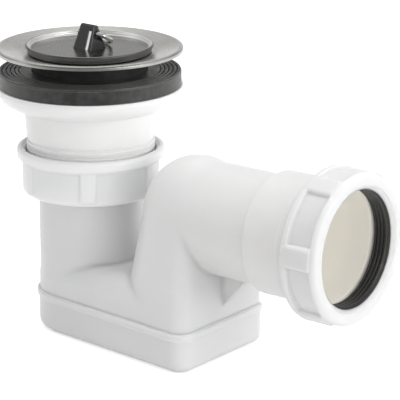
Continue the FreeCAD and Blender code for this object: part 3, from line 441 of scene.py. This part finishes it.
def toward(owner, place, direction):
    """How far a place or a line of sight goes along a direction."""
    node = add_node(owner, "ShaderNodeVectorMath", operation="DOT_PRODUCT")
    wire(owner, place, node.inputs[0])
    node.inputs[1].default_value = direction
    return node.outputs["Value"]


shape = bmesh.new()
bmesh.ops.create_circle(shape, cap_ends=True, segments=FLOOR_SIDES, radius=FLOOR_REACH)
bmesh.ops.translate(shape, vec=(0, 0, FLOOR_LEVEL), verts=shape.verts)
floor_mesh = bpy.data.meshes.new("floor")
shape.to_mesh(floor_mesh)
shape.free()
floor = bpy.data.objects.new("floor", floor_mesh)
bpy.context.scene.collection.objects.link(floor)
floor_white, floor_shader = new_material("floor_white")
floor_mesh.materials.append(floor_white)
floor_ray = add_node(floor_white, "ShaderNodeLightPath")
nearness = toward(floor_white, object_place(floor_white), AWAY)
near = step_between(floor_white, nearness, -NEAR_EDGE, -NEAR_EDGE - NEAR_FADE)
hidden = reckon(floor_white, "MULTIPLY", near, floor_ray.outputs["Is Glossy Ray"])
lit = reckon(floor_white, "MAXIMUM", floor_ray.outputs["Is Camera Ray"],
             floor_ray.outputs["Is Glossy Ray"])
lit = reckon(floor_white, "MULTIPLY", lit, reckon(floor_white, "SUBTRACT", 1.0, hidden))
floor_glow = add_node(floor_white, "ShaderNodeEmission")
wire(floor_white, reckon(floor_white, "MULTIPLY", lit, FLOOR_GLOW), floor_glow.inputs["Strength"])
floor_shader.inputs["Roughness"].default_value = 1.0
floor_shader.inputs["Specular IOR Level"].default_value = 0.0
wire(floor_white, ramp(floor_white, hidden, grey(FLOOR_GREY), grey(NEAR_GREY), (0, 1)),
     floor_shader.inputs["Base Color"])
total = add_node(floor_white, "ShaderNodeAddShader")
wire(floor_white, floor_shader.outputs["BSDF"], total.inputs[0])
wire(floor_white, floor_glow.outputs["Emission"], total.inputs[1])
wire(floor_white, total.outputs["Shader"],
     floor_white.node_tree.nodes["Material Output"].inputs["Surface"])

# World of the studio, white to the camera and weaker from the left. Glossy surfaces see a
# white backdrop low behind the object, and a dim room over it and high on the near side.
WORLD_LIGHT = 0.84
LEFT = (-math.cos(VIEW_TURN), -math.sin(VIEW_TURN), 0)
LEFT_DIM = 0.36
LEFT_SPREAD = (0.35, 0.95)
BEHIND_DIM = 0.6
BEHIND_DEPTH = (0.1, 0.6)
BEHIND_LOW = (0.12, 0.24)
BEHIND_TOP = (0.72, 0.5)
AHEAD_DIM = 0.85
AHEAD_DEPTH = (0.0, -0.3)
AHEAD_LOW = (0.25, 0.5)
AHEAD_TOP = (0.97, 0.85)

world = bpy.data.worlds.new("studio")
bpy.context.scene.world = world
world.use_nodes = True
sky = world.node_tree.nodes["Background"]
sky.inputs["Color"].default_value = grey(1)
sight = add_node(world, "ShaderNodeTexCoord").outputs["Generated"]
sight_parts = add_node(world, "ShaderNodeSeparateXYZ")
wire(world, sight, sight_parts.inputs["Vector"])
height = sight_parts.outputs["Z"]
depth = toward(world, sight, AWAY)
world_ray = add_node(world, "ShaderNodeLightPath")


def dim_part(dimness, depths, lows, tops):
    """How much a part of the room takes off the light, between its low and its top edge."""
    part = reckon(world, "MULTIPLY", step_between(world, depth, *depths),
                  step_between(world, height, *lows))
    part = reckon(world, "MULTIPLY", part, step_between(world, height, *tops))
    return reckon(world, "MULTIPLY", part, dimness)


def seen_by(ray, seen, otherwise):
    """One level of light for a kind of ray, another for the rest."""
    mix = add_node(world, "ShaderNodeMix")
    wire(world, world_ray.outputs[ray], mix.inputs["Factor"])
    wire(world, otherwise, mix.inputs["A"])
    if isinstance(seen, (int, float)):
        mix.inputs["B"].default_value = seen
    else:
        wire(world, seen, mix.inputs["B"])
    return mix.outputs["Result"]


dim = reckon(world, "ADD", dim_part(BEHIND_DIM, BEHIND_DEPTH, BEHIND_LOW, BEHIND_TOP),
             dim_part(AHEAD_DIM, AHEAD_DEPTH, AHEAD_LOW, AHEAD_TOP))
from_left = step_between(world, toward(world, sight, LEFT), *LEFT_SPREAD)
light = reckon(world, "SUBTRACT", WORLD_LIGHT, reckon(world, "MULTIPLY", from_left, LEFT_DIM))
light = seen_by("Is Camera Ray", 1.0, light)
light = seen_by("Is Glossy Ray", reckon(world, "SUBTRACT", 1.0, dim), light)
wire(world, light, sky.inputs["Strength"])

# Lamps: a soft one low at the right, and one above that shows in no reflection. Both are
# square panels that point at the middle of the object.
LAMP_AIM = (0.03, 0, -0.05)
LAMP_WIDTH = 0.6


def soft_lamp(name, place, power, in_reflections):
    """A square panel of light at a place."""
    lamp = bpy.data.lights.new(name, "AREA")
    lamp.shape = "RECTANGLE"
    lamp.size = lamp.size_y = LAMP_WIDTH
    lamp.energy = power
    holder = bpy.data.objects.new(name, lamp)
    holder.location = place
    holder.visible_glossy = in_reflections
    holder.rotation_mode = "QUATERNION"
    holder.rotation_quaternion = (Vector(LAMP_AIM) - Vector(place)).to_track_quat("-Z", "Y")
    bpy.context.scene.collection.objects.link(holder)


soft_lamp("side", (1.01, 0.06, 0.055), power=4.35, in_reflections=True)
soft_lamp("top", (0.02, 0, 0.95), power=4.6, in_reflections=False)

# Camera, where the photograph was taken from: the turn, the tilt, the distance and the
# picture point of the flange's centre were fitted to the outlines in it.
TILT = math.radians(16.7)
DISTANCE = 0.857
PIXELS = 400
FOCAL_PIXELS = 2300
FLANGE_CENTRE = Vector((0, 0, 0.0015))
FLANGE_PIXEL = (89.5, 45.6)
SENSOR = 36

forward = Vector((-math.sin(VIEW_TURN) * math.cos(TILT), math.cos(VIEW_TURN) * math.cos(TILT),
                  -math.sin(TILT)))
right = Vector((math.cos(VIEW_TURN), math.sin(VIEW_TURN), 0))
up = right.cross(forward)
across = (FLANGE_PIXEL[0] - PIXELS / 2) * DISTANCE / FOCAL_PIXELS
down = (FLANGE_PIXEL[1] - PIXELS / 2) * DISTANCE / FOCAL_PIXELS
camera_data = bpy.data.cameras.new("camera")
camera_data.sensor_width = SENSOR
camera_data.lens = SENSOR * FOCAL_PIXELS / PIXELS
camera = bpy.data.objects.new("camera", camera_data)
camera.location = FLANGE_CENTRE - forward * DISTANCE - right * across + up * down
camera.rotation_mode = "QUATERNION"
camera.rotation_quaternion = forward.to_track_quat("-Z", "Y")
bpy.context.scene.collection.objects.link(camera)
bpy.context.scene.camera = camera
bpy.context.scene.view_settings.view_transform = "Standard"
